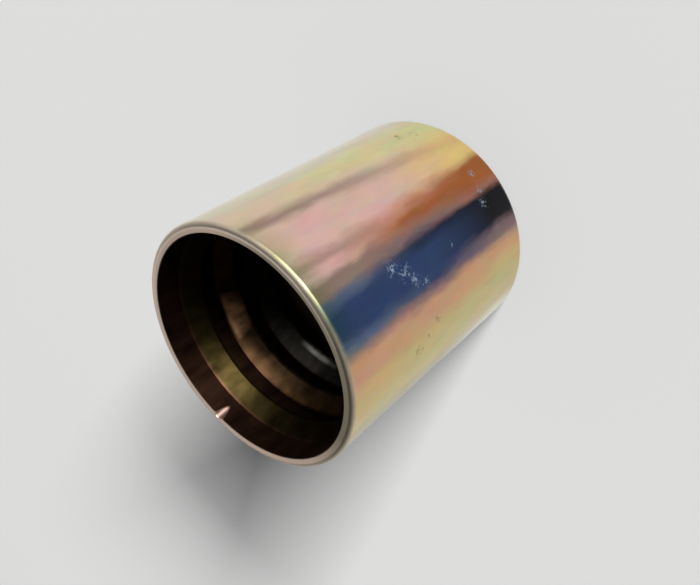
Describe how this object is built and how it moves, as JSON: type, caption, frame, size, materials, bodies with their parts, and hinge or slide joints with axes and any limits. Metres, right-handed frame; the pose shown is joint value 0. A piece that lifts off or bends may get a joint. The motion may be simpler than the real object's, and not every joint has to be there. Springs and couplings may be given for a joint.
{
  "type": "crimp hose ferrule",
  "caption": "Turned steel crimp ferrule: thin round shell with saw-tooth grip rings inside the open mouth and an inward collar at the other end, yellow chromate finish.",
  "frame": {"origin": "centre of the collar's end face, on which the ferrule stands", "axes": "+Z along the axis, out of the mouth; the nick on the rim is at 223.5 degrees from +X towards +Y"},
  "size_m": [0.03, 0.03, 0.035],
  "materials": {
    "yellow_chromate": "turned steel, zinc plated and yellow chromated, iridescent gloss"
  },
  "bodies": {
    "root": {"ferrule": "yellow_chromate"}
  },
  "joints": []
}
